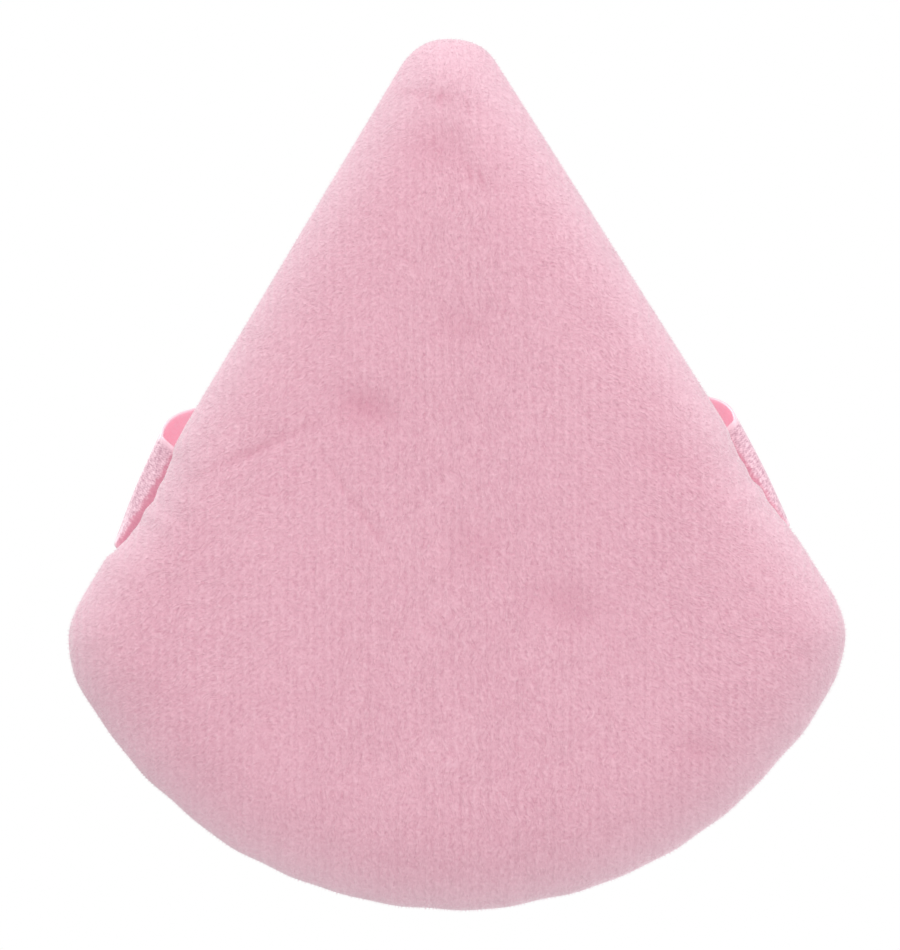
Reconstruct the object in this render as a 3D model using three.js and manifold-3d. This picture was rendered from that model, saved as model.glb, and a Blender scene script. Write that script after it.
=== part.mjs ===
// A fan-shaped velour powder puff with a satin ribbon strap across its back.
// It lies on its powder face: +Z points up through the strap, and +Y points to the tip.
// The origin is on the floor, under the middle of the outline. Lengths are in millimetres.
import * as THREE from 'three';
import { mergeVertices } from 'three/addons/utils/BufferGeometryUtils.js';
import Module from 'manifold-3d';

const wasm = await Module();
wasm.setup();

// Outline of the sewn cover, seen from above.
const puffLength = 80; // from the tip to the lowest point of the arc
const sideAngle = THREE.MathUtils.degToRad(31.7); // each straight side off the middle line
const tipRadius = 5.2;
const cornerRadius = 8.3;
const arcRadius = 39.2;

// Section of the stuffed cover.
const seamHeight = 6.5; // the seam above the floor
const frontCrown = 7.2; // the front's swell below the seam, before the floor flattens it
const backCrown = 6.5; // the back's swell above the seam
const crownReach = 20; // how far in from the seam the swell levels off
const crownPower = 2.6; // 2 swells as an ellipse does, and more is fuller at the edge

// Cloth, thread and fits.
const velourThickness = 2.0; // knitted ground and standing pile
const crushedThickness = 0.6; // the velour where the seam has crushed its pile
const seamAllowance = 2.2; // turned inwards, past the velour's own thickness
const seamFold = 0.3; // inside corner between the allowance and the cover
const fit = 0.3; // clearance between pieces that lie against each other
const threadDiameter = 0.4;
const stitchInset = 0.9; // seam stitches, in from the velour's inner face
const tackInset = 1.7; // ribbon tacks, in from the velour's inner face

// Opening in the arc through which the cover is turned and filled.
const turningGap = 36;
const ladderStitch = 2.6; // length of one stitch that closes the opening
const ladderSwing = 0.2; // each stitch to either side of its middle line

// Ribbon strap.
const ribbonWidth = 10;
const ribbonThickness = 0.4;
const ribbonDrop = 42.4; // from the tip down to the middle of the ribbon's sewn ends
const ribbonTail = 3.9; // the sewn end, in from the outline
const fingerGap = 6; // between the back and the strap at the crown of its arch
const ribbonStub = 0.6; // straight out of the seam before the ribbon turns up
const tipSidePower = 2.6; // fullness of the arch along the edge nearer the tip, which hangs slack
const arcSidePower = 2.2; // and along the edge nearer the arc, which is pulled tight
const strapLean = 4.6; // the arch's crown, towards the tip from its ends

// Mesh counts.
const longestStep = 8;
const sharpestTurn = THREE.MathUtils.degToRad(15);
const edgeRings = [0, 0.07, 0.2, 0.42, 0.7, 1]; // shares of the edge band
const middleRings = [0.12, 0.28, 0.5, 0.75]; // shares of the way from there to the heart
const threadSides = 6;
const threadStep = 3;
const ladderSteps = 4;
const archSteps = 36;
const slotSegments = 16;
const outlineDotCount = 720;
const shortestCurve = 0.001; // shorter ones only join two arcs that already meet

// The outline's own points. Its sides touch the tip's circle, and its corners touch the
// sides and the arc.
const sideNormal = new THREE.Vector2(Math.cos(sideAngle), Math.sin(sideAngle));
const sideDown = new THREE.Vector2(sideNormal.y, -sideNormal.x);
const tipCentre = new THREE.Vector2(0, puffLength / 2 - tipRadius);
const arcCentre = new THREE.Vector2(0, arcRadius - puffLength / 2);
const cornerCentre = cornerBetween(sideNormal, sideDown);
const cornerAngle = cornerCentre.clone().sub(arcCentre).angle() - 2 * Math.PI;
const heart = new THREE.Vector2(0, heartHeight());

const edgeBand = velourThickness + seamAllowance;
const panelGap = fit / 2; // each panel's rim, from the seam's own level
const outline = sampled(outlinePath(0, 0));
const outlineDots = outlinePath(0, 0).getSpacedPoints(outlineDotCount);

function cornerBetween(normal, down) {
  const start = tipCentre.clone().addScaledVector(normal, tipRadius - cornerRadius);
  const offset = start.clone().sub(arcCentre);
  const along = offset.dot(down);
  const inner = arcRadius - cornerRadius;
  const reach = Math.sqrt(along * along - offset.lengthSq() + inner * inner);
  return start.addScaledVector(down, reach - along);
}

// Where the sides and the arc are equally far away, which is the fullest place.
function heartHeight() {
  const fall = tipRadius + tipCentre.y * sideNormal.y - puffLength / 2;
  return fall / (1 + sideNormal.y);
}

// The outline moved inwards, from one end of a gap in the arc round the tip to the other.
function outlinePath(inset, gap) {
  const gapAngle = gap / 2 / arcRadius;
  const bottom = -Math.PI / 2;
  const path = new THREE.Path();
  const arc = (centre, x, radius, from, to) =>
    path.absarc(x, centre.y, radius - inset, from, to, false);
  arc(arcCentre, 0, arcRadius, bottom + gapAngle, cornerAngle);
  arc(cornerCentre, cornerCentre.x, cornerRadius, cornerAngle, sideAngle);
  arc(tipCentre, 0, tipRadius, sideAngle, Math.PI - sideAngle);
  arc(cornerCentre, -cornerCentre.x, cornerRadius, Math.PI - sideAngle, Math.PI - cornerAngle);
  arc(arcCentre, 0, arcRadius, Math.PI - cornerAngle, 2 * Math.PI + bottom - gapAngle);
  return path;
}

// Points with their outward normals: short steps round the bends, longer ones along the sides.
function sampled(path) {
  const found = [];
  for (const curve of path.curves) {
    const length = curve.getLength();
    if (length < shortestCurve) continue;
    const turn = curve.isEllipseCurve ? curve.aEndAngle - curve.aStartAngle : 0;
    const steps = Math.max(Math.ceil(length / longestStep), Math.ceil(turn / sharpestTurn));
    for (let k = 0; k < steps; k++) {
      const tangent = curve.getTangent(k / steps);
      found.push({
        point: curve.getPoint(k / steps),
        normal: new THREE.Vector2(tangent.y, -tangent.x),
      });
    }
  }
  return found;
}

function depthAt(point) {
  return Math.min(...outlineDots.map((dot) => dot.distanceTo(point)));
}

// How far the cover swells from the seam's level, for the layer that lies inside by skin.
function swell(depth, crown, skin) {
  const inward = THREE.MathUtils.clamp((depth - skin) / (crownReach - skin), 0, 1);
  return (crown - skin) * (1 - (1 - inward) ** crownPower) ** (1 / crownPower);
}

const frontLevel = (skin) => (depth) =>
  Math.max(skin, seamHeight - panelGap - swell(depth, frontCrown, skin));
const backLevel = (skin) => (depth) =>
  seamHeight + panelGap + swell(depth, backCrown, skin);

// A closed loop of points, a fixed distance in from the outline.
function ring(inset, level) {
  const z = typeof level === 'function' ? level(inset) : level;
  return outline.map(({ point, normal }) => {
    const at = point.clone().addScaledVector(normal, -inset);
    return new THREE.Vector3(at.x, at.y, z);
  });
}

// Loops between the one at an inset and the heart, with the heart last.
function ringsToHeart(inset, level) {
  const loops = middleRings.map((share) =>
    outline.map(({ point, normal }) => {
      const at = point.clone().addScaledVector(normal, -inset).lerp(heart, share);
      return new THREE.Vector3(at.x, at.y, level(depthAt(at)));
    }));
  return [...loops, [new THREE.Vector3(heart.x, heart.y, level(depthAt(heart)))]];
}

// One closed surface through loops of equal length, with a single point at either end.
function skinOver(loops) {
  const positions = loops.flat().flatMap((p) => [p.x, p.y, p.z]);
  const index = [];
  let start = 0;
  for (let i = 0; i + 1 < loops.length; i++) {
    const [here, next] = [loops[i], loops[i + 1]];
    const count = Math.max(here.length, next.length);
    const other = start + here.length;
    for (let k = 0; k < count; k++) {
      const after = (k + 1) % count;
      const [a, b] = [start + k % here.length, start + after % here.length];
      const [c, d] = [other + k % next.length, other + after % next.length];
      if (a !== b) index.push(a, b, c);
      if (c !== d) index.push(b, d, c);
    }
    start = other;
  }
  const geometry = new THREE.BufferGeometry();
  geometry.setAttribute('position', new THREE.Float32BufferAttribute(positions, 3));
  geometry.setIndex(index);
  return facingOut(geometry);
}

// Reversing the whole list of corners turns every triangle over.
function facingOut(geometry) {
  const corners = geometry.index.array;
  const [a, b, c] = [new THREE.Vector3(), new THREE.Vector3(), new THREE.Vector3()];
  const position = geometry.attributes.position;
  let volume = 0;
  for (let i = 0; i < corners.length; i += 3) {
    [a, b, c].forEach((v, k) => v.fromBufferAttribute(position, corners[i + k]));
    volume += a.dot(b.cross(c));
  }
  if (volume < 0) corners.reverse();
  return geometry;
}

function solid(geometry) {
  const bare = geometry.clone();
  for (const name of ['normal', 'uv']) bare.deleteAttribute(name);
  const merged = mergeVertices(bare);
  return new wasm.Manifold(new wasm.Mesh({
    numProp: 3,
    vertProperties: merged.attributes.position.array,
    triVerts: new Uint32Array(merged.index.array),
  }));
}

function cutBy(geometry, tools) {
  const cut = tools.reduce((rest, tool) => rest.subtract(solid(tool)), solid(geometry)).getMesh();
  const made = new THREE.BufferGeometry();
  made.setAttribute('position', new THREE.BufferAttribute(cut.vertProperties, 3));
  made.setIndex(new THREE.BufferAttribute(cut.triVerts, 1));
  return made;
}

// A flat bar of the given height, centred on the seam's level.
function barAtSeam(shape, height) {
  const bar = new THREE.ExtrudeGeometry(shape, {
    depth: height,
    bevelEnabled: false,
    curveSegments: slotSegments,
  });
  return bar.translate(0, 0, seamHeight - height / 2);
}

function thread(points, steps) {
  const section = new THREE.Shape();
  section.absarc(0, 0, threadDiameter / 2, 0, 2 * Math.PI, false);
  const dots = section.getSpacedPoints(threadSides).slice(0, threadSides);
  return new THREE.ExtrudeGeometry(new THREE.Shape(dots), {
    extrudePath: new THREE.CatmullRomCurve3(points),
    steps,
    bevelEnabled: false,
  });
}

// The ribbon's sewn ends. A place on a side is given by its height up the middle line.
function onSide(y) {
  const x = (tipRadius - (y - tipCentre.y) * sideNormal.y) / sideNormal.x;
  return new THREE.Vector2(x, y);
}

// The ribbon is sewn square to the seam.
const ribbonMiddle = puffLength / 2 - ribbonDrop;
const ribbonTipSide = onSide(ribbonMiddle + ribbonWidth / 2 * sideNormal.x);
const ribbonArcSide = onSide(ribbonMiddle - ribbonWidth / 2 * sideNormal.x);

// The slot that a sewn end lies in, between the two panels.
function ribbonSlot(side) {
  const corner = (end, step, inset) => {
    const at = end.clone().addScaledVector(sideDown, step).addScaledVector(sideNormal, -inset);
    return new THREE.Vector2(side * at.x, at.y);
  };
  const inner = ribbonTail + fit;
  const shape = new THREE.Shape([
    corner(ribbonTipSide, -fit, -fit),
    corner(ribbonTipSide, -fit, inner),
    corner(ribbonArcSide, fit, inner),
    corner(ribbonArcSide, fit, -fit),
  ]);
  return barAtSeam(shape, ribbonThickness + 2 * fit);
}

// The slot that the closing stitches lie in, along the middle of the arc.
function ladderSlot() {
  const half = ladderSwing + threadDiameter / 2 + fit;
  const middle = arcRadius - velourThickness / 2;
  const angle = (turningGap / 2 + fit) / arcRadius;
  const shape = new THREE.Shape();
  shape.absarc(0, arcCentre.y, middle + half, -Math.PI / 2 - angle, -Math.PI / 2 + angle, false);
  shape.absarc(0, arcCentre.y, middle - half, -Math.PI / 2 + angle, -Math.PI / 2 - angle, true);
  return barAtSeam(shape, threadDiameter + 2 * fit);
}

// One velour panel: its outside, the seam's face, the turned-in allowance and its inside.
function panel(level, up) {
  const seam = seamHeight + up * panelGap;
  const under = seam + up * crushedThickness;
  const fold = velourThickness + seamFold;
  const insides = edgeRings.map((share) => fold + share * (edgeBand - fold));
  const shell = skinOver([
    ...ringsToHeart(edgeBand, level(0)).reverse(),
    ...edgeRings.map((share) => ring(share * edgeBand, level(0))).reverse(),
    ring(edgeBand, seam),
    ring(edgeBand, under),
    ring(fold, under),
    ...insides.map((inset) => ring(inset, level(velourThickness))),
    ...ringsToHeart(edgeBand, level(velourThickness)),
  ]);
  return cutBy(shell, [ribbonSlot(1), ribbonSlot(-1), ladderSlot()]);
}

// The die-cut sponge, with a blunt edge just inside the seam allowance.
function spongeCore() {
  const inset = edgeBand + fit;
  const skin = velourThickness + fit;
  return skinOver([
    ...ringsToHeart(inset, frontLevel(skin)).reverse(),
    ring(inset, frontLevel(skin)),
    ring(inset, backLevel(skin)),
    ...ringsToHeart(inset, backLevel(skin)),
  ]);
}

// A seam thread lies on the allowance of one panel, from one end of the turning gap to the other.
function seamThread(up) {
  const path = outlinePath(velourThickness + stitchInset, turningGap);
  const z = seamHeight + up * (panelGap + crushedThickness + fit + threadDiameter / 2);
  const steps = Math.ceil(path.getLength() / threadStep);
  const points = path.getSpacedPoints(steps).map((p) => new THREE.Vector3(p.x, p.y, z));
  return thread(points, steps);
}

// The hand stitches that close the turning gap, swinging from one panel's edge to the other's.
function closingThread() {
  const stitches = Math.round(turningGap / ladderStitch);
  const middle = arcRadius - velourThickness / 2;
  const points = [];
  for (let k = 0; k <= stitches; k++) {
    const angle = -Math.PI / 2 + (k / stitches - 0.5) * turningGap / arcRadius;
    const radius = middle + (k % 2 ? ladderSwing : -ladderSwing);
    points.push(new THREE.Vector3(
      radius * Math.cos(angle), arcCentre.y + radius * Math.sin(angle), seamHeight));
  }
  return thread(points, stitches * ladderSteps);
}

// The stitches that hold a sewn end to the back panel's allowance before the seam is sewn.
function strapTack(side) {
  const z = seamHeight + panelGap + crushedThickness + fit + threadDiameter / 2;
  const ends = [ribbonTipSide, ribbonArcSide].map((end) => {
    const at = end.clone().addScaledVector(sideNormal, -velourThickness - tackInset);
    return new THREE.Vector3(side * at.x, at.y, z);
  });
  return thread(ends, 1);
}

// One long edge of the ribbon, from the tail in one seam over the arch to the other tail.
// The arch bends from square to the seam to straight across the back.
function ribbonEdge(end, crownY, power) {
  const crown = backCrown + panelGap + fingerGap + ribbonThickness / 2;
  const place = (inset) => {
    const at = end.clone().addScaledVector(sideNormal, -inset);
    return new THREE.Vector3(at.x, at.y, seamHeight);
  };
  const stub = place(-ribbonStub);
  const points = [place(ribbonTail), place(0)];
  for (let k = 0; k <= archSteps; k++) {
    const angle = Math.PI * k / archSteps;
    const share = Math.sin(angle) ** (2 / power);
    const across = Math.sign(Math.cos(angle)) * Math.abs(Math.cos(angle)) ** (2 / power);
    points.push(new THREE.Vector3(
      stub.x * across,
      THREE.MathUtils.lerp(stub.y, crownY, share * (2 - share)),
      seamHeight + crown * share));
  }
  for (const inset of [0, ribbonTail]) points.push(place(inset).setX(-place(inset).x));
  return points;
}

function ribbonStrap() {
  const crownY = ribbonMiddle + strapLean;
  const tipSide = ribbonEdge(ribbonTipSide, crownY + ribbonWidth / 2, tipSidePower);
  const arcSide = ribbonEdge(ribbonArcSide, crownY - ribbonWidth / 2, arcSidePower);
  const last = tipSide.length - 1;
  const sections = tipSide.map((near, k) => {
    const far = arcSide[k];
    const [before, after] = [Math.max(k - 1, 0), Math.min(k + 1, last)];
    const along = tipSide[after].clone().sub(tipSide[before]);
    along.add(arcSide[after]).sub(arcSide[before]);
    const lift = along.cross(far.clone().sub(near)).setLength(ribbonThickness / 2);
    return [
      near.clone().add(lift), far.clone().add(lift),
      far.clone().sub(lift), near.clone().sub(lift),
    ];
  });
  const middle = (k) => [tipSide[k].clone().lerp(arcSide[k], 0.5)];
  return skinOver([middle(0), ...sections, middle(last)]);
}

const velour = { color: 0xe6b3c4, roughness: 0.95, metalness: 0 };
const sponge = { color: 0xf4efe6, roughness: 0.9, metalness: 0 };
const satin = { color: 0xefbccd, roughness: 0.35, metalness: 0 };
const sewingThread = { color: 0xeaa9c0, roughness: 0.6, metalness: 0 };

const puff = new THREE.Group();

function addPiece(name, geometry, look) {
  const mesh = new THREE.Mesh(geometry, new THREE.MeshStandardMaterial(look));
  mesh.name = name;
  puff.add(mesh);
}

addPiece('front_panel', panel(frontLevel, -1), velour);
addPiece('back_panel', panel(backLevel, 1), velour);
addPiece('sponge_core', spongeCore(), sponge);
addPiece('seam_needle_thread', seamThread(-1), sewingThread);
addPiece('seam_bobbin_thread', seamThread(1), sewingThread);
addPiece('closing_thread', closingThread(), sewingThread);
addPiece('strap_tack_right', strapTack(1), sewingThread);
addPiece('strap_tack_left', strapTack(-1), sewingThread);
addPiece('ribbon_strap', ribbonStrap(), satin);

export default puff;
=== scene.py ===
import math

import bpy
import numpy as np
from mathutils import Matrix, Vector, kdtree


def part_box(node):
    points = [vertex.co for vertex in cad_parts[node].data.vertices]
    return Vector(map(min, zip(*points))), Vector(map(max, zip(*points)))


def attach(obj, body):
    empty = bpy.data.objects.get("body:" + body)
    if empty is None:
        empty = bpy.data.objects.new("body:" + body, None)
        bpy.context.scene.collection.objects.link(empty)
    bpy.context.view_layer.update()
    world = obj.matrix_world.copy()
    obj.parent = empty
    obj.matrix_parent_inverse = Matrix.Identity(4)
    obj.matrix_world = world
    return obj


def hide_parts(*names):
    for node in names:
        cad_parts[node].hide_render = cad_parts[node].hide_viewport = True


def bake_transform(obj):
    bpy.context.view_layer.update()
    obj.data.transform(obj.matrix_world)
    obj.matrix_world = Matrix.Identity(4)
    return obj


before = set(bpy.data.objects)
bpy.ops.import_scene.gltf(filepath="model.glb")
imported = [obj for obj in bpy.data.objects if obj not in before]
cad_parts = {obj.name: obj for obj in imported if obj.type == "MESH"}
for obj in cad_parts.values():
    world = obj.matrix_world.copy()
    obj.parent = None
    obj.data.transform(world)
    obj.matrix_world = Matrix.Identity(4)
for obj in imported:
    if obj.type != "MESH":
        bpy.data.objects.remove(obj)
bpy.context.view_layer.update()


# Sponge core
# The filling is a pad of soft open-cell sponge, die-cut a seam allowance smaller than the cover.
# It lies loose between the two velour panels, takes on their crown and keeps the puff plump.

mm = 0.001  # in metres, the scene's unit
seam_height = 6.5 * mm
crown_reach = 20 * mm  # how far in from the seam the swell levels off
crown_power = 2.6  # 2 swells as an ellipse does, and more is fuller at the edge
front_crown = 7.2 * mm
back_crown = 6.65 * mm
half_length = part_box("front_panel")[1].y
outline_count = 1440
heart = np.array([0, -10.8 * mm])  # where the rows of each face come together
sponge_edge = 4.5 * mm  # the sponge's edge, in from the seam
sponge_skin = 2.3 * mm  # the sponge's faces, in from the cover's


def arc_points(across, up, radius, start, end, steps=90):
    turns = np.linspace(start, end, steps)
    return np.stack([across + radius * np.cos(turns), up + radius * np.sin(turns)], axis=1)


def lopsided(up):
    """The hand-sewn cover leans a little to one side near the tip and to the other below the strap."""
    tip_lean, tip_middle, tip_spread = 0.78 * mm, 27.5 * mm, 17 * mm
    low_lean, low_middle, low_spread = 0.33 * mm, -8.5 * mm, 7 * mm
    near_tip = tip_lean * np.exp(-(((up - tip_middle) / tip_spread) ** 2))
    below_strap = low_lean * np.exp(-(((up - low_middle) / low_spread) ** 2))
    return near_tip - below_strap


def sewn_outline():
    """Evenly spaced points round the seam, from the middle of the arc towards +X and the tip."""
    side_angle = math.radians(31.7)
    tip_radius = 5.2 * mm
    corner_radius = 8.3 * mm
    arc_radius = 39.2 * mm
    waver_height = 0.04 * mm
    waver_counts = (11, 19, 26, 43)
    normal = np.array([math.cos(side_angle), math.sin(side_angle)])
    down = np.array([normal[1], -normal[0]])
    tip_centre = np.array([0, half_length - tip_radius])
    arc_centre = np.array([0, arc_radius - half_length])
    start = tip_centre + normal * (tip_radius - corner_radius)
    offset = start - arc_centre
    inner = arc_radius - corner_radius
    slide = math.sqrt((offset @ down) ** 2 - offset @ offset + inner ** 2) - offset @ down
    corner = start + down * slide
    corner_angle = math.atan2(corner[1] - arc_centre[1], corner[0])
    half = np.concatenate([
        arc_points(0, arc_centre[1], arc_radius, -math.pi / 2, corner_angle),
        arc_points(corner[0], corner[1], corner_radius, corner_angle, side_angle),
        arc_points(0, tip_centre[1], tip_radius, side_angle, math.pi / 2),
    ])
    whole = np.concatenate([half, half[-2::-1] * (-1, 1)])
    whole[:, 0] += lopsided(whole[:, 1])
    length = np.concatenate([[0], np.cumsum(np.linalg.norm(np.diff(whole, axis=0), axis=1))])
    outward = whole - heart
    outward /= np.linalg.norm(outward, axis=1, keepdims=True)
    round_share = 2 * math.pi * length / length[-1]
    waver = sum(np.sin(count * round_share + count ** 2) for count in waver_counts)
    whole += outward * (waver_height * waver)[:, None]
    even = np.linspace(0, length[-1], outline_count + 1)
    return np.stack([np.interp(even, length, whole[:, k]) for k in (0, 1)], axis=1)


outline = sewn_outline()
outline_tree = kdtree.KDTree(outline_count)
for number, (across, up) in enumerate(outline[:-1]):
    outline_tree.insert((across, up, 0), number)
outline_tree.balance()


def along_outline(share, inset):
    """Places round the outline, moved inwards square to the seam."""
    tangent = np.gradient(outline, axis=0)
    tangent[[0, -1]] = outline[1] - outline[-2]
    inward = np.stack([-tangent[:, 1], tangent[:, 0]], axis=1)
    inward /= np.linalg.norm(inward, axis=1, keepdims=True)
    at = np.linspace(0, 1, outline_count + 1)
    point, pull = (np.stack([np.interp(share, at, table[:, k]) for k in (0, 1)], axis=1)
                   for table in (outline, inward))
    return point + pull * np.reshape(inset, (-1, 1))


def depth_of(places):
    """How far these places lie from the seam."""
    return np.array([outline_tree.find((across, up, 0))[2] for across, up in places])


def swell(depth, crown, skin):
    """How far the stuffed cover stands off the seam's level, for a layer that lies inside by skin."""
    inward = np.clip((depth - skin) / (crown_reach - skin), 0, 1)
    return (crown - skin) * (1 - (1 - inward) ** crown_power) ** (1 / crown_power)


def rested(height, most):
    """Heights held to the level of what the puff rests on, with a soft bend where they reach it."""
    bend = 0.25 * mm
    return most - bend * np.logaddexp(0, (most - height) / bend)


def shaped_grid(name, columns, rows, place):
    """A flat grid that place(u, v) moves into shape. Edges that then meet are merged."""
    merge_distance = 0.002 * mm
    bpy.ops.object.select_all(action="DESELECT")
    bpy.ops.mesh.primitive_grid_add(x_subdivisions=columns, y_subdivisions=rows, size=2)
    piece = bpy.context.object
    piece.name = piece.data.name = name
    flat = np.empty(3 * len(piece.data.vertices))
    piece.data.vertices.foreach_get("co", flat)
    u, v = (flat.reshape(-1, 3)[:, :2].T + 1) / 2
    piece.data.vertices.foreach_set("co", place(u, v).ravel())
    bpy.ops.object.mode_set(mode="EDIT")
    bpy.ops.mesh.select_all(action="SELECT")
    bpy.ops.mesh.remove_doubles(threshold=merge_distance)
    bpy.ops.mesh.normals_make_consistent(inside=False)
    bpy.ops.object.mode_set(mode="OBJECT")
    bpy.ops.object.shade_smooth()
    return piece


class Wire:
    """A node's output. Operators on wires add Math nodes to the same tree."""

    def __init__(self, tree, socket=None):
        self.tree = tree
        self.socket = socket

    def node(self, kind, settings=None, sockets=None, output=0):
        """Any other node: its settings are set first, then its sockets' values or links."""
        made = self.tree.nodes.new(kind)
        for key, value in (settings or {}).items():
            setattr(made, key, value)
        for key, value in (sockets or {}).items():
            if isinstance(value, Wire):
                self.tree.links.new(value.socket, made.inputs[key])
            else:
                made.inputs[key].default_value = value
        return Wire(self.tree, made.outputs[output] if made.outputs else None)

    def output(self, name):
        return Wire(self.tree, self.socket.node.outputs[name])

    def maths(self, operation, first, second):
        return self.node("ShaderNodeMath", {"operation": operation}, {0: first, 1: second})

    def __add__(self, other):
        return self.maths("ADD", self, other)

    __radd__ = __add__

    def __sub__(self, other):
        return self.maths("SUBTRACT", self, other)

    def __rsub__(self, other):
        return self.maths("SUBTRACT", other, self)

    def __mul__(self, other):
        return self.maths("MULTIPLY", self, other)

    __rmul__ = __mul__


def paint(red, green, blue):
    """A colour given as it looks on screen, from 0 to 255, in the shader's own numbers."""
    screen = np.array([red, green, blue]) / 255
    linear = np.where(screen > 0.04045, ((screen + 0.055) / 1.055) ** 2.4, screen / 12.92)
    return (*linear, 1)


def new_material(name):
    material = bpy.data.materials.new(name)
    material.use_nodes = True
    return material, Wire(material.node_tree)


def dress(material, **sockets):
    """Sets or links the sockets of a material's shader, named with _ for a space."""
    shader = material.node_tree.nodes["Principled BSDF"]
    for key, value in sockets.items():
        entry = shader.inputs[key.replace("_", " ")]
        if isinstance(value, Wire):
            material.node_tree.links.new(value.socket, entry)
        else:
            entry.default_value = value


def mixed(wire, factor, low, high):
    """Two colours, mixed. A Mix node's colours are its sockets 6 and 7 and its output 2."""
    return wire.node("ShaderNodeMix", {"data_type": "RGBA"}, {0: factor, 6: low, 7: high}, output=2)


def object_place(wire):
    return wire.node("ShaderNodeTexCoord", output="Object")


def bumped(wire, height, distance, strength=1.0):
    return wire.node(
        "ShaderNodeBump", None, {"Height": height, "Distance": distance, "Strength": strength})


def sponge_place(u, v):
    """From the heart of the front face out to the blunt edge and over the back face to its heart."""
    face = 0.42  # each face's share of the rows
    to_edge = np.clip(np.minimum(v, 1 - v) / face, 0, 1)
    spot = along_outline(u, sponge_edge)
    spot = heart + (spot - heart) * to_edge[:, None]
    depth = depth_of(spot)
    front = seam_height - rested(swell(depth, front_crown, sponge_skin), seam_height - sponge_skin)
    back = seam_height + swell(depth, back_crown, sponge_skin)
    across_edge = np.clip((v - face) / (1 - 2 * face), 0, 1)
    return np.column_stack([spot, front + (back - front) * across_edge])


sponge = shaped_grid("sponge", columns=160, rows=60, place=sponge_place)
foam, wire = new_material("off-white sponge")
place = object_place(wire)
# The cells drive both colour and bumps: their pits are sunk and painted darker, as painted shade.
cells = wire.node("ShaderNodeTexVoronoi", None, {"Vector": place, "Scale": 1600})
dress(
    foam,
    Base_Color=mixed(wire, cells, paint(205, 196, 180), paint(250, 246, 238)),
    Roughness=0.9,
    Normal=bumped(wire, cells, distance=0.2 * mm),
)
sponge.data.materials.append(foam)
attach(sponge, "puff")
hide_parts("sponge_core")


# Front panel
# The powder face is one piece of knitted velour, two millimetres thick with its dense, short cut pile.
# It is sewn to the back panel face to face, turned out and filled, so it rolls over into the seam.

nap = 0.25 * mm  # how far the fibre ends hold the cloth off what it rests on
pile_spacing = 0.29 * mm
rim_overhang = 0.12 * mm  # the rolled edge, out past the outline
velour_thickness = 1.7 * mm
seam_pull = 0.6 * mm  # how deep the seam lies between the two rolled edges
seam_pull_height = 0.9 * mm
panel_columns = 420
panel_rows = 80
rim_share = 0.5  # the share of a panel's rows that make its rolled edge
rim_turn = math.radians(38)
front_tip_lift = 1.5 * mm  # the powder face at the tip, up off the floor
tip_lift_start = 20 * mm
wale = 0.83 * mm  # one column of the knit

# How far the ribbon's ends pull in the sides: heights above the middle of each end, and depths, in
# millimetres. The end at -X is sewn a little nearer to the tip than the other. The tacks add small
# dimples, in waves of two lengths.
pull_heights = (-5.2, -4.3, -2.6, -0.6, 1.4, 2.9, 4.4, 5.8, 6.9)
right_pull_depths = (0, 0.5, 0.85, 0.95, 0.9, 0.75, 0.3, 0.05, 0)
left_pull_depths = (0, 0.15, 0.35, 0.48, 0.6, 0.5, 0.12, 0, 0)
right_end_up = -2.4 * mm
left_end_up = -0.65 * mm
tack_waves = (2.9, 1.9)
tack_dimple = 0.07
full_dimple_pull = 0.3


def pressed(places, spots):
    """How deep dents are at these places: each spot has its middle, two radii, turn and depth."""
    total = np.zeros(len(places))
    for across, up, wide, high, turn, depth in spots:
        away = places - np.array([across, up]) * mm
        cos, sin = math.cos(math.radians(turn)), math.sin(math.radians(turn))
        along = (away[:, 0] * cos + away[:, 1] * sin) / (wide * mm)
        over = (away[:, 1] * cos - away[:, 0] * sin) / (high * mm)
        total += depth * mm * np.exp(-(along ** 2) - over ** 2)
    return total


def mark_pressed(piece, spots):
    """Keeps how far the pile is pressed down, from 0 to 1, for the material's painted shade in dents."""
    full_press = 0.5 * mm
    points = np.empty(3 * len(piece.data.vertices))
    piece.data.vertices.foreach_get("co", points)
    share = np.clip(pressed(points.reshape(-1, 3)[:, :2], spots) / full_press, 0, 1)
    piece.data.attributes.new("pressed", "FLOAT", "POINT").data.foreach_set("value", share)


def even_swell(places, crown):
    """The swell, evened out over some millimetres, so that no ridge stands along the middle."""
    uneven_rim = 3.4 * mm
    widest_ring = 4.5 * mm
    ring_turns = 12
    depth = depth_of(places)
    ring_radius = np.clip(depth - uneven_rim, 0, widest_ring)[:, None]
    heights = [swell(depth, crown, 0)]
    for turn in np.linspace(0, 2 * math.pi, ring_turns, endpoint=False):
        step = np.array([math.cos(turn), math.sin(turn)])
        for share in (0.5, 1):
            heights.append(swell(depth_of(places + ring_radius * step * share), crown, 0))
    return np.mean(heights, axis=0)


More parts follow.
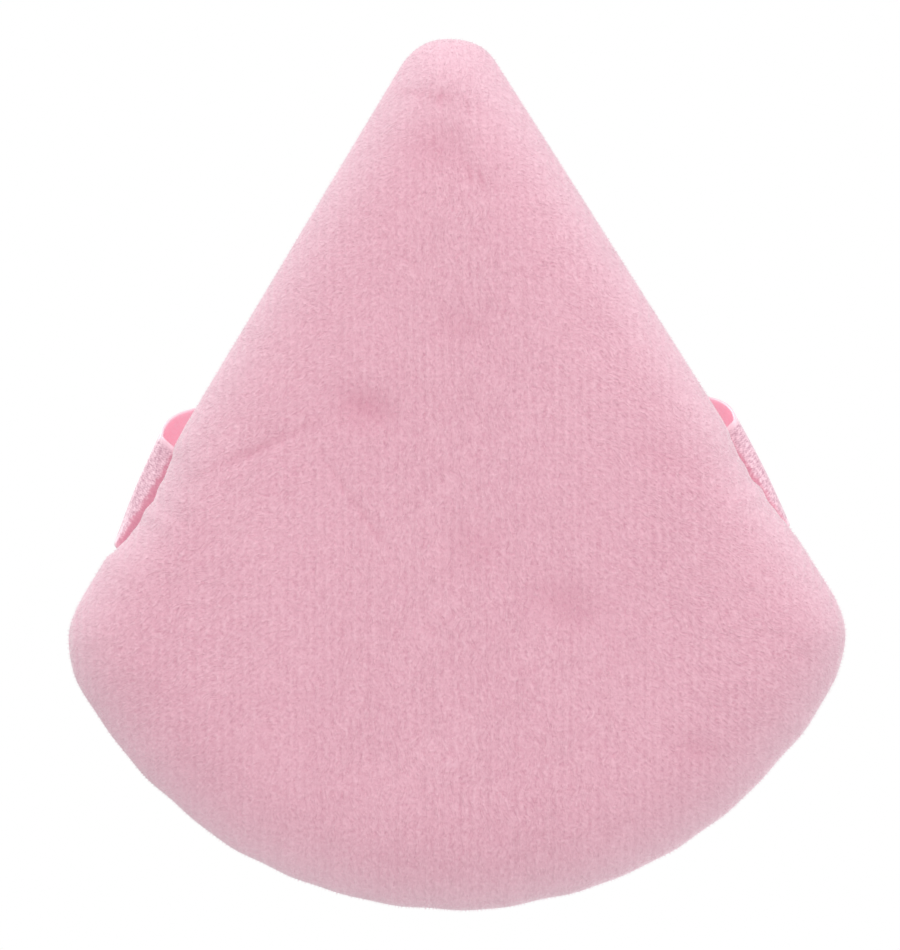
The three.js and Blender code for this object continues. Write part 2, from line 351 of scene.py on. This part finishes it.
def velour_panel(name, up, crown, most, spots, tip_lift):
    """One panel's outer face, from the seam over its rolled edge to the heart.

    It swells up from the seam's level where up is 1 and down where it is -1, and no further than most.
    """

    def place(u, v):
        turn = np.clip(v / rim_share, 0, 1) * rim_turn
        rise = crown * np.sin(turn) ** (2 / crown_power)
        inset = crown_reach * (1 - np.cos(turn) ** (2 / crown_power)) - rim_overhang
        inset += seam_pull * np.exp(-((rise / seam_pull_height) ** 2))
        edge = along_outline(u, 0)
        on_right = edge[:, 0] > 0
        above_end = (edge[:, 1] - np.where(on_right, right_end_up, left_end_up)) / mm
        right_pull = np.interp(above_end, pull_heights, right_pull_depths)
        left_pull = np.interp(above_end, pull_heights, left_pull_depths)
        pull = np.where(on_right, right_pull, left_pull)
        dimples = sum(np.sin(2 * math.pi * above_end / wave) for wave in tack_waves)
        inset += (pull + tack_dimple * dimples * np.clip(pull / full_dimple_pull, 0, 1)) * mm
        spot = along_outline(u, inset)
        inner = np.clip((v - rim_share) / (1 - rim_share), 0, 1)
        spot += (heart - spot) * inner[:, None]
        within = inner > 0
        rise[within] = even_swell(spot[within], crown)
        rise = rested(rise, most) - rested(np.zeros(1), most)
        near_tip = np.clip((spot[:, 1] - tip_lift_start) / (half_length - tip_lift_start), 0, 1)
        rise -= (pressed(spot, spots) + tip_lift * near_tip ** 2) * np.clip(rise / most, 0, 1)
        return np.column_stack([spot, seam_height + up * rise])

    return shaped_grid(name, panel_columns, panel_rows, place)


def finished_with(piece, kind, **settings):
    """Adds a modifier with these settings and applies it."""
    bpy.ops.object.select_all(action="DESELECT")
    bpy.context.view_layer.objects.active = piece
    piece.select_set(True)
    modifier = piece.modifiers.new(kind.lower(), kind)
    for key, value in settings.items():
        setattr(modifier, key, value)
    bpy.ops.object.modifier_apply(modifier=modifier.name)


def noise(wire, place, scale, detail=2.0):
    """Smooth noise, with about so many blotches to a metre."""
    return wire.node("ShaderNodeTexNoise", None, {"Vector": place, "Scale": scale, "Detail": detail})


def spread_map(piece):
    """A flat map of the piece as seen from above, for the export."""
    layer = piece.data.uv_layers.new(name="OFBake")
    corners = np.empty(len(piece.data.loops), int)
    piece.data.loops.foreach_get("vertex_index", corners)
    points = np.empty(3 * len(piece.data.vertices))
    piece.data.vertices.foreach_get("co", points)
    flat = points.reshape(-1, 3)[corners, :2]
    low, high = flat.min(axis=0), flat.max(axis=0)
    layer.uv.foreach_set("vector", ((flat - low) / (high - low)).ravel())


def pile_on(panel, name, spacing, seed):
    """The ends of the cut pile: one fibre, a thin three-sided cone, copied all over a panel."""
    length = 0.45 * mm
    radius = 0.035 * mm
    middle = 0.3 * length  # a fifth of the fibre stands in the cloth
    most_fibres = 6e7  # to a square metre, which the spacing never reaches
    clump_scale = 420
    clump_lean = 0.7
    combed_lean = 0.6  # towards the arc
    spread_lean = 0.5
    shortest, longest = 0.8, 1.2
    upright_size = 0.6  # of the fibres where the cloth stands upright, in the rolled edge
    bpy.ops.object.select_all(action="DESELECT")
    bpy.ops.mesh.primitive_cone_add(
        vertices=3, radius1=radius, radius2=0, depth=length, location=(0, 0, middle))
    bpy.ops.object.transform_apply()
    fibre = bpy.context.object
    fibre.data.materials.append(panel.data.materials[0])

    tree = bpy.data.node_groups.new(name, "GeometryNodeTree")
    for way in ("INPUT", "OUTPUT"):
        tree.interface.new_socket("Cloth", in_out=way, socket_type="NodeSocketGeometry")
    wire = Wire(tree)
    roots = wire.node(
        "GeometryNodeDistributePointsOnFaces",
        {"distribute_method": "POISSON"},
        {
            "Mesh": wire.node("NodeGroupInput"),
            "Distance Min": spacing,
            "Density Max": most_fibres,
            "Seed": seed,
        },
    )
    spread = wire.node(
        "FunctionNodeRandomValue", {"data_type": "FLOAT_VECTOR"},
        {0: (-spread_lean,) * 3, 1: (spread_lean,) * 3, "Seed": seed})
    spot = wire.node("GeometryNodeInputPosition")
    clumps = noise(wire, spot, clump_scale).output("Color")
    combed = wire.node(
        "ShaderNodeVectorMath", {"operation": "MULTIPLY_ADD"},
        {0: clumps, 1: (2 * clump_lean,) * 3, 2: (-clump_lean, -clump_lean - combed_lean, -clump_lean)})
    outward = wire.node(
        "ShaderNodeVectorMath", {"operation": "MULTIPLY_ADD"},
        {0: spot, 1: (1 / crown_reach, 0, 0), 2: spread})
    lean = wire.node("ShaderNodeVectorMath", {"operation": "ADD"}, {0: outward, 1: combed})
    stand = wire.node("ShaderNodeVectorMath", {"operation": "ADD"}, {0: roots.output("Normal"), 1: lean})
    spin = wire.node(
        "FunctionNodeRandomValue", {"data_type": "FLOAT_VECTOR"},
        {0: (0, 0, 0), 1: (0, 0, 2 * math.pi), "Seed": seed + 1})
    facing = wire.node("ShaderNodeSeparateXYZ", None, {0: roots.output("Normal")}).output("Z")
    size = wire.node(
        "FunctionNodeRandomValue", None,
        {"Min": shortest, "Max": longest, "Seed": seed + 2}, output="Value")
    size = size * (upright_size + facing * facing * (1 - upright_size))
    turned = wire.node(
        "FunctionNodeAlignRotationToVector", {"axis": "Z"}, {"Rotation": spin, "Vector": stand})
    one_fibre = wire.node("GeometryNodeObjectInfo", None, {"Object": fibre}, "Geometry")
    planted = wire.node(
        "GeometryNodeInstanceOnPoints", None,
        {"Points": roots, "Instance": one_fibre, "Rotation": turned, "Scale": size})
    wire.node("NodeGroupOutput", None, {0: wire.node("GeometryNodeRealizeInstances", None, {0: planted})})

    pile = bpy.data.objects.new(name, panel.data.copy())
    bpy.context.scene.collection.objects.link(pile)
    finished_with(pile, "NODES", node_group=tree)
    pile.data.name = name
    bpy.data.objects.remove(fibre)
    spread_map(pile)
    return pile


def streaks(wire, place, turn):
    """Fine strands of pile that lie one way, turned so many degrees from +X."""
    strand_stretch = 4
    strand_scale = 6600
    laid = wire.node(
        "ShaderNodeMapping", {"vector_type": "TEXTURE"},
        {"Vector": place, "Rotation": (0, 0, math.radians(turn)), "Scale": (strand_stretch, 1, 1)})
    return noise(wire, laid, strand_scale) - 0.5


def beyond(wire, value, start, end):
    """From 0 at start to 1 at end, with soft bends."""
    return wire.node(
        "ShaderNodeMapRange", {"interpolation_type": "SMOOTHSTEP"},
        {"Value": value, 1: start, 2: end, 3: 0, 4: 1})


# In the velour's material the strands lie along the middle and fan out to both sides. Its colour is
# mixed towards white where the cloth rolls over into the seam, a painted sheen, and towards a darker
# pink where the pile is pressed, painted shade in the dents.
sheen_start_height = 6.2 * mm  # off the seam's level, beyond which no sheen is painted
sheen_full_height = 3.2 * mm
middle_half_width = 27.6 * mm  # half the puff's width at the middle of its length
side_slope = 0.617  # and how fast it narrows towards the tip
fan_start, fan_full = 0.12, 0.7  # shares of that half width
fan_turn = 33
stir = 3 * mm
run_down = 0.35  # less than 1 draws the grain out down the rolled edge
velour, wire = new_material("pink velour")
place = object_place(wire)
flat = wire.node("ShaderNodeVectorMath", {"operation": "MULTIPLY"}, {0: place, 1: (1, 1, run_down)})
across = wire.node("ShaderNodeSeparateXYZ", None, {0: place})
off_seam = wire.node(
    "ShaderNodeMath", {"operation": "ABSOLUTE"}, {0: across.output("Z") - seam_height})
rolled = beyond(wire, off_seam, sheen_start_height, sheen_full_height)
bend = noise(wire, flat, scale=160)
bent = across + bend * (0.5 * mm)
patch = noise(wire, flat, scale=110)
column = wire.node("ShaderNodeMath", {"operation": "SINE"}, {0: bent * (2 * math.pi / wale)}) * patch
cloud = noise(wire, flat, scale=75, detail=3.0) - 0.5
clump = noise(wire, flat, scale=700) - 0.5
grain = noise(wire, flat, scale=3500) - 0.5
half_width = middle_half_width - across.output("Y") * side_slope
sideways = wire.node("ShaderNodeMath", {"operation": "DIVIDE"}, {0: across, 1: half_width})
on_right = beyond(wire, sideways, fan_start, fan_full)
on_left = beyond(wire, sideways, -fan_start, -fan_full)
swirl = noise(wire, flat, scale=260).output("Color")
stirred = wire.node(
    "ShaderNodeVectorMath", {"operation": "MULTIPLY_ADD"}, {0: swirl, 1: (stir, stir, 0), 2: flat})
strand = (streaks(wire, stirred, -fan_turn) * on_right + streaks(wire, stirred, fan_turn) * on_left
          + streaks(wire, stirred, 90) * (1 - on_right - on_left))
# Painted shade: the colour goes to a darker pink where the pile is pressed into dents.
dent_shade = wire.node("ShaderNodeAttribute", {"attribute_name": "pressed"}, output="Fac")
# The pile's tone differs at random, and is also painted darker in the gaps between clumps and strands, as
# painted shade.
light = 0.5 + cloud * 0.4 + clump * 0.1 + grain * 1.5 + strand * 1.4 + column * 0.14
standing = mixed(wire, light, paint(218, 160, 178), paint(238, 190, 204))
# Painted sheen: the colour is mixed towards white where the cloth rolls over into the seam.
with_rim_sheen = mixed(wire, rolled * 0.2, standing, paint(255, 240, 248))
relief = grain * 0.6 + strand * 0.5 + clump * 0.1 + column * 0.16
dress(
    velour,
    Base_Color=mixed(wire, dent_shade * 0.85, with_rim_sheen, paint(212, 142, 163)),
    Roughness=0.95,
    Specular_IOR_Level=0.15,
    Normal=bumped(wire, relief, distance=0.27 * mm, strength=0.7),
    Sheen_Weight=1.0,
    Sheen_Roughness=0.45,
    Sheen_Tint=paint(255, 250, 252),
)

# Dents in the powder face: across, up, two radii, turn in degrees and depth, in millimetres.
front_spots = [
    (8.2, 6.0, 2.6, 1.7, 10, 0.28),
    (-0.6, 13.0, 2.2, 1.5, 0, 0.14),
    (-9.8, -11.8, 3.6, 2.2, 20, 0.18),
    (-1.6, -6.4, 3.2, 2.6, 0, 0.14),
    (-21.5, -25.0, 1.5, 1.2, 0, 0.16),
    (-19.3, 1.2, 4.0, 1.6, 20, 0.1),
    (1.0, 34.0, 3.4, 0.4, 14, 0.32),
    (2.0, 29.6, 3.0, 1.8, 0, 0.16),
    (-1.9, 26.9, 1.8, 0.4, 30, 0.28),
    (18.0, 2.2, 4.6, 0.4, -25, 0.24),
    (9.0, -2.8, 5.4, 0.4, 55, 0.12),
]
front = velour_panel("front_velour", -1, front_crown, seam_height - nap, front_spots, front_tip_lift)
front.data.materials.append(velour)
front_pile = pile_on(front, "front_pile", pile_spacing, seed=3)
finished_with(front, "SOLIDIFY", thickness=velour_thickness, offset=-1)
mark_pressed(front, front_spots)
mark_pressed(front_pile, front_spots)
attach(front, "puff")
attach(front_pile, "puff")
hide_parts("front_panel")


# Back panel
# The side that the fingers rest on, of the same velour, cut to the same outline and sewn to the front.
# It swells into a full crown, because nothing presses it.

# Its dents, given as those of the powder face.
back_spots = [
    (0, -4.5, 14, 8, 0, 0.25),
    (12, 12, 5, 3, 60, 0.2),
    (-14, -22, 6, 4, 30, 0.25),
]
back = velour_panel("back_velour", 1, back_crown, back_crown, back_spots, tip_lift=0)
back.data.materials.append(velour)
back_pile = pile_on(back, "back_pile", pile_spacing, seed=11)
finished_with(back, "SOLIDIFY", thickness=velour_thickness, offset=-1)
mark_pressed(back, back_spots)
mark_pressed(back_pile, back_spots)
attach(back, "puff")
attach(back_pile, "puff")
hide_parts("back_panel")


# Ribbon strap
# A length of single-faced satin ribbon in a fine weave, with smooth woven edges that need no hem.
# Its tails are caught in the side seams, square to them. It bends up out of the seams, then straight
# across the back, to take two fingers. Its edge nearer the tip is slack and stands off the sides.

ribbon_width = 10 * mm
ribbon_thickness = 0.25 * mm
ribbon_tail = 3.9 * mm
solid_half_thickness = 0.2 * mm  # of the ribbon's CAD solid
ribbon_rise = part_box("ribbon_strap")[1].z - solid_half_thickness - seam_height
ribbon_bow = 0.25 * mm  # how far its middle stands out past its edges
warp_threads = 46
weft_threads = 340
float_scale = 4000
float_stretch = 1.7  # the floating threads of the satin, along the ribbon
selvage_and_highlight = 0.42 * mm


def side_place(side, up, inset):
    """A place on a side of the outline, at this height and moved inwards square to the seam."""
    corner_share, tip_share = 0.1, 0.48
    shares = np.linspace(corner_share, tip_share, 400)
    shares = shares if side > 0 else 1 - shares
    share = np.interp(up, along_outline(shares, 0)[:, 1], shares)
    return along_outline(np.array([share]), inset)[0]


def ribbon_edge(above_end, outs, lean, crown_up, power):
    """One edge, from the tail in the +X seam over the arch to the tail in the other.

    Its feet stand off the two sides by outs and lie nearer to the tip than the tails by lean. A larger
    power makes the arch squarer.
    """
    crown_slant = 0.6 * mm
    arch_count = 240
    path_count = 801
    soft_count = 13
    angle = np.linspace(0, math.pi, arch_count)
    share = np.sin(angle).clip(0) ** (2 / power)
    across = np.sign(np.cos(angle)) * np.abs(np.cos(angle)) ** (2 / power)
    ends = ((1, right_end_up + above_end), (-1, left_end_up + above_end))
    (right, right_up), (left, left_up) = (
        side_place(side, up, -out) for (side, up), out in zip(ends, outs))
    foot_up = np.where(angle < math.pi / 2, right_up, left_up) + lean
    arch = np.column_stack([
        (right + left) / 2 + (right - left) / 2 * across,
        foot_up + (crown_up - crown_slant * across - foot_up) * share * (2 - share),
        seam_height + ribbon_rise * share,
    ])
    tails = [np.array([[*side_place(side, up, ribbon_tail), seam_height]]) for side, up in ends]
    path = np.concatenate([tails[0], arch, tails[1]])
    length = np.concatenate([[0], np.cumsum(np.linalg.norm(np.diff(path, axis=0), axis=1))])
    even = np.linspace(0, length[-1], path_count)
    path = np.stack([np.interp(even, length, path[:, k]) for k in range(3)], axis=1)
    soft = np.hanning(soft_count + 2)[1:-1] / np.hanning(soft_count + 2).sum()
    beside = soft_count // 2
    padded = np.concatenate([np.repeat(path[:1], beside, 0), path, np.repeat(path[-1:], beside, 0)])
    return np.stack([np.convolve(padded[:, k], soft, "valid") for k in range(3)], axis=1)


tip_edge = ribbon_edge(
    above_end=4.35 * mm, outs=(0.85 * mm, 0.45 * mm), lean=1.0 * mm, crown_up=7.4 * mm, power=2.4)
arc_edge = ribbon_edge(
    above_end=-4.3 * mm, outs=(-0.15 * mm, -0.1 * mm), lean=0, crown_up=-2.2 * mm, power=2.2)
edge_lengths = [
    np.linalg.norm(np.diff(edge, axis=0), axis=1).sum() for edge in (tip_edge, arc_edge)]
ribbon_length = float(np.mean(edge_lengths))


def ribbon_place(u, v):
    """From edge to edge, u, and from one tail to the other, v, with a slight bow between the edges."""
    flat_share, bowed_share = 0.045, 0.075
    at = np.linspace(0, 1, len(tip_edge))
    near, far = (np.stack([np.interp(v, at, edge[:, k]) for k in range(3)], axis=1)
                 for edge in (tip_edge, arc_edge))
    flat = near + (far - near) * u[:, None]
    outward = (flat - np.array([0, 0, seam_height])) * (1, 0, 1)
    outward /= np.linalg.norm(outward, axis=1, keepdims=True)
    from_end = np.minimum(v, 1 - v)
    bowed = np.clip((from_end - flat_share) / (bowed_share - flat_share), 0, 1)
    bow = ribbon_bow * 4 * u * (1 - u) * bowed
    return flat + outward * bow[:, None]


def ribbon_material(name, dark, pale, shaded, roughness):
    """Satin from dark to pale in a fine weave, with painted glints.

    Its edges are painted pale, a painted highlight, and it is painted darker in the seams, as shade.
    """
    shade_ragged = 0.8 * mm
    shade_full, shade_start = ribbon_tail - 0.1 * mm, ribbon_tail + 0.5 * mm
    material, wire = new_material(name)
    over = wire.node("ShaderNodeSeparateXYZ", None, {0: wire.node("ShaderNodeTexCoord", output="UV")})
    run = over.output("Y")
    warp = wire.node("ShaderNodeMath", {"operation": "SINE"}, {0: over * (2 * math.pi * warp_threads)})
    weft = wire.node("ShaderNodeMath", {"operation": "SINE"}, {0: run * (2 * math.pi * weft_threads)})
    floats = wire.node(
        "ShaderNodeCombineXYZ", None,
        {0: over * ribbon_width, 1: run * (ribbon_length / float_stretch)})
    glint = noise(wire, floats, float_scale) - 0.5
    from_edge = (
        wire.node("ShaderNodeMath", {"operation": "PINGPONG"}, {0: over, 1: 0.5}) * ribbon_width)
    between = beyond(wire, from_edge, 0.5 * selvage_and_highlight, 1.5 * selvage_and_highlight)
    # The glints are painted highlights: specks of the satin's floats, bright in the colour as well as in
    # the bumps.
    weave = (warp * weft * 0.25 + warp * 0.1 + glint * 2.3) * between
    from_end = (
        wire.node("ShaderNodeMath", {"operation": "PINGPONG"}, {0: run, 1: 0.5}) * ribbon_length)
    ragged = from_end + (noise(wire, object_place(wire), scale=900) + glint) * shade_ragged
    # Painted shade where the ribbon goes into the seam, under the velour's rolled edge.
    deep = 1 - beyond(wire, ragged, shade_full, shade_start)
    # The edges are smooth woven selvage, and painted pale there as well, a painted highlight.
    face = mixed(wire, weave + 1 - between * 0.5, dark, pale)
    dress(
        material,
        Base_Color=mixed(wire, deep * 0.85, face, shaded),
        Roughness=roughness,
        Normal=bumped(wire, weave, distance=0.03 * mm, strength=0.6),
    )
    return material


ribbon = shaped_grid("ribbon", columns=40, rows=320, place=ribbon_place)
seam_shade_pink = paint(217, 136, 159)
satin = ribbon_material("pink satin", paint(200, 147, 167), paint(253, 214, 226), seam_shade_pink, 0.32)
dress(satin, Coat_Weight=0.3, Coat_Roughness=0.25)
reverse = ribbon_material(
    "dull satin reverse", paint(255, 198, 214), paint(255, 210, 224), seam_shade_pink, 0.6)
# The reverse glows a little, for the light that comes through the thin ribbon.
dress(reverse, Emission_Color=paint(255, 186, 206), Emission_Strength=0.24)
ribbon.data.materials.append(satin)
ribbon.data.materials.append(reverse)
finished_with(ribbon, "SOLIDIFY", thickness=ribbon_thickness, offset=0, material_offset=1)
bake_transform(ribbon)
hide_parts("ribbon_strap")


# Seam threads
# Twisted polyester sewing thread: the two threads of the lockstitched seam, the hand stitches that
# close the turning gap in the arc, and the tacks that hold the ribbon's tails. They lie inside the seam.

twist, wire = new_material("pink sewing thread")
strands = noise(wire, object_place(wire), scale=4000)
dress(
    twist,
    Base_Color=mixed(wire, strands, paint(214, 140, 166), paint(244, 190, 208)),
    Roughness=0.6,
    Normal=bumped(wire, strands, distance=0.05 * mm),
)
thread_nodes = (
    "seam_needle_thread",
    "seam_bobbin_thread",
    "closing_thread",
    "strap_tack_right",
    "strap_tack_left",
)
for node in thread_nodes:
    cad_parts[node].data.materials.clear()
    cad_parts[node].data.materials.append(twist)


# Floor, camera and light
# A pale floor under the puff, which fades into the white further out. The main camera stands below it
# and looks up through it, and the light of the lamps down there then passes through it as well.
# Seen from above the floor is whole, and the puff throws its shadow on it.

floor_drop = 0.05 * mm
fade_start, fade_end = 0.1, 0.35  # metres from the middle of the floor

bpy.ops.object.select_all(action="DESELECT")
bpy.ops.mesh.primitive_plane_add(size=4)
floor = bpy.context.object
floor.name = "floor"
floor.location.z = -floor_drop
pale, wire = new_material("pale floor")
dress(pale, Base_Color=(0.9, 0.9, 0.9, 1), Roughness=0.9)
board = Wire(pale.node_tree, pale.node_tree.nodes["Principled BSDF"].outputs[0])
behind = wire.node("ShaderNodeNewGeometry", output="Backfacing")
passed = wire.node("ShaderNodeLightPath", output="Transparent Depth")
reach = wire.node(
    "ShaderNodeVectorMath", {"operation": "LENGTH"}, {0: object_place(wire)}, output="Value")
faded = beyond(wire, reach, fade_start, fade_end)
clear = 1 - (1 - behind) * (1 - beyond(wire, passed, 0, 1)) * (1 - faded)
see_through = wire.node("ShaderNodeBsdfTransparent")
seen = wire.node("ShaderNodeMixShader", None, {0: clear, 1: board, 2: see_through})
pale.node_tree.links.new(seen.socket, pale.node_tree.nodes["Material Output"].inputs["Surface"])
floor.data.materials.append(pale)

# The surroundings are white where they are seen, mirrored or seen through something, and dimmer as a light.
ambient = 0.54
world = bpy.data.worlds.new("studio")
world.use_nodes = True
bpy.context.scene.world = world
wire = Wire(world.node_tree)
ray = wire.node("ShaderNodeLightPath")
mirrored = ray.maths("MAXIMUM", ray.output("Is Glossy Ray"), ray.output("Is Transmission Ray"))
shown = ray.maths("MAXIMUM", ray.output("Is Camera Ray"), mirrored)
surround = world.node_tree.nodes["Background"]
world.node_tree.links.new((shown * (1 - ambient) + ambient).socket, surround.inputs["Strength"])
surround.inputs["Color"].default_value = (1, 1, 1, 1)


def soft_lamp(name, place, size, power):
    """A round lamp that faces the puff and isn't seen itself."""
    bpy.ops.object.light_add(type="AREA", location=place)
    lamp = bpy.context.object
    lamp.name = name
    lamp.data.shape = "DISK"
    lamp.data.size = size
    lamp.data.energy = power
    lamp.rotation_euler = (-Vector(place)).to_track_quat("-Z", "Y").to_euler()
    lamp.visible_camera = False


soft_lamp("face_tip", (0, 0.48, -0.19), size=0.4, power=1.68)
soft_lamp("face_left", (0.45, 0, -0.26), size=0.4, power=0.63)
soft_lamp("face_right", (-0.45, 0, -0.26), size=0.4, power=0.88)
soft_lamp("face_arc", (0, -0.45, -0.26), size=0.4, power=0.46)
soft_lamp("back_key", (-0.3, -0.25, 0.55), size=0.35, power=1.93)
soft_lamp("back_fill", (0.4, 0.35, 0.45), size=0.5, power=1.11)

camera_data = bpy.data.cameras.new("camera")
camera = bpy.data.objects.new("camera", camera_data)
bpy.context.scene.collection.objects.link(camera)
bpy.context.scene.camera = camera
camera_data.sensor_width = 36
camera_data.lens = 150
frame_height = 87.4 * mm  # what the picture's longer side takes in at the seam's level
distance = frame_height * camera_data.lens / camera_data.sensor_width
camera.location = (0.5 * mm, -0.14 * mm, seam_height - distance)
camera.rotation_euler = (0, math.pi, 0)
camera_data.clip_start = 0.01
bpy.context.scene.view_settings.view_transform = "Standard"
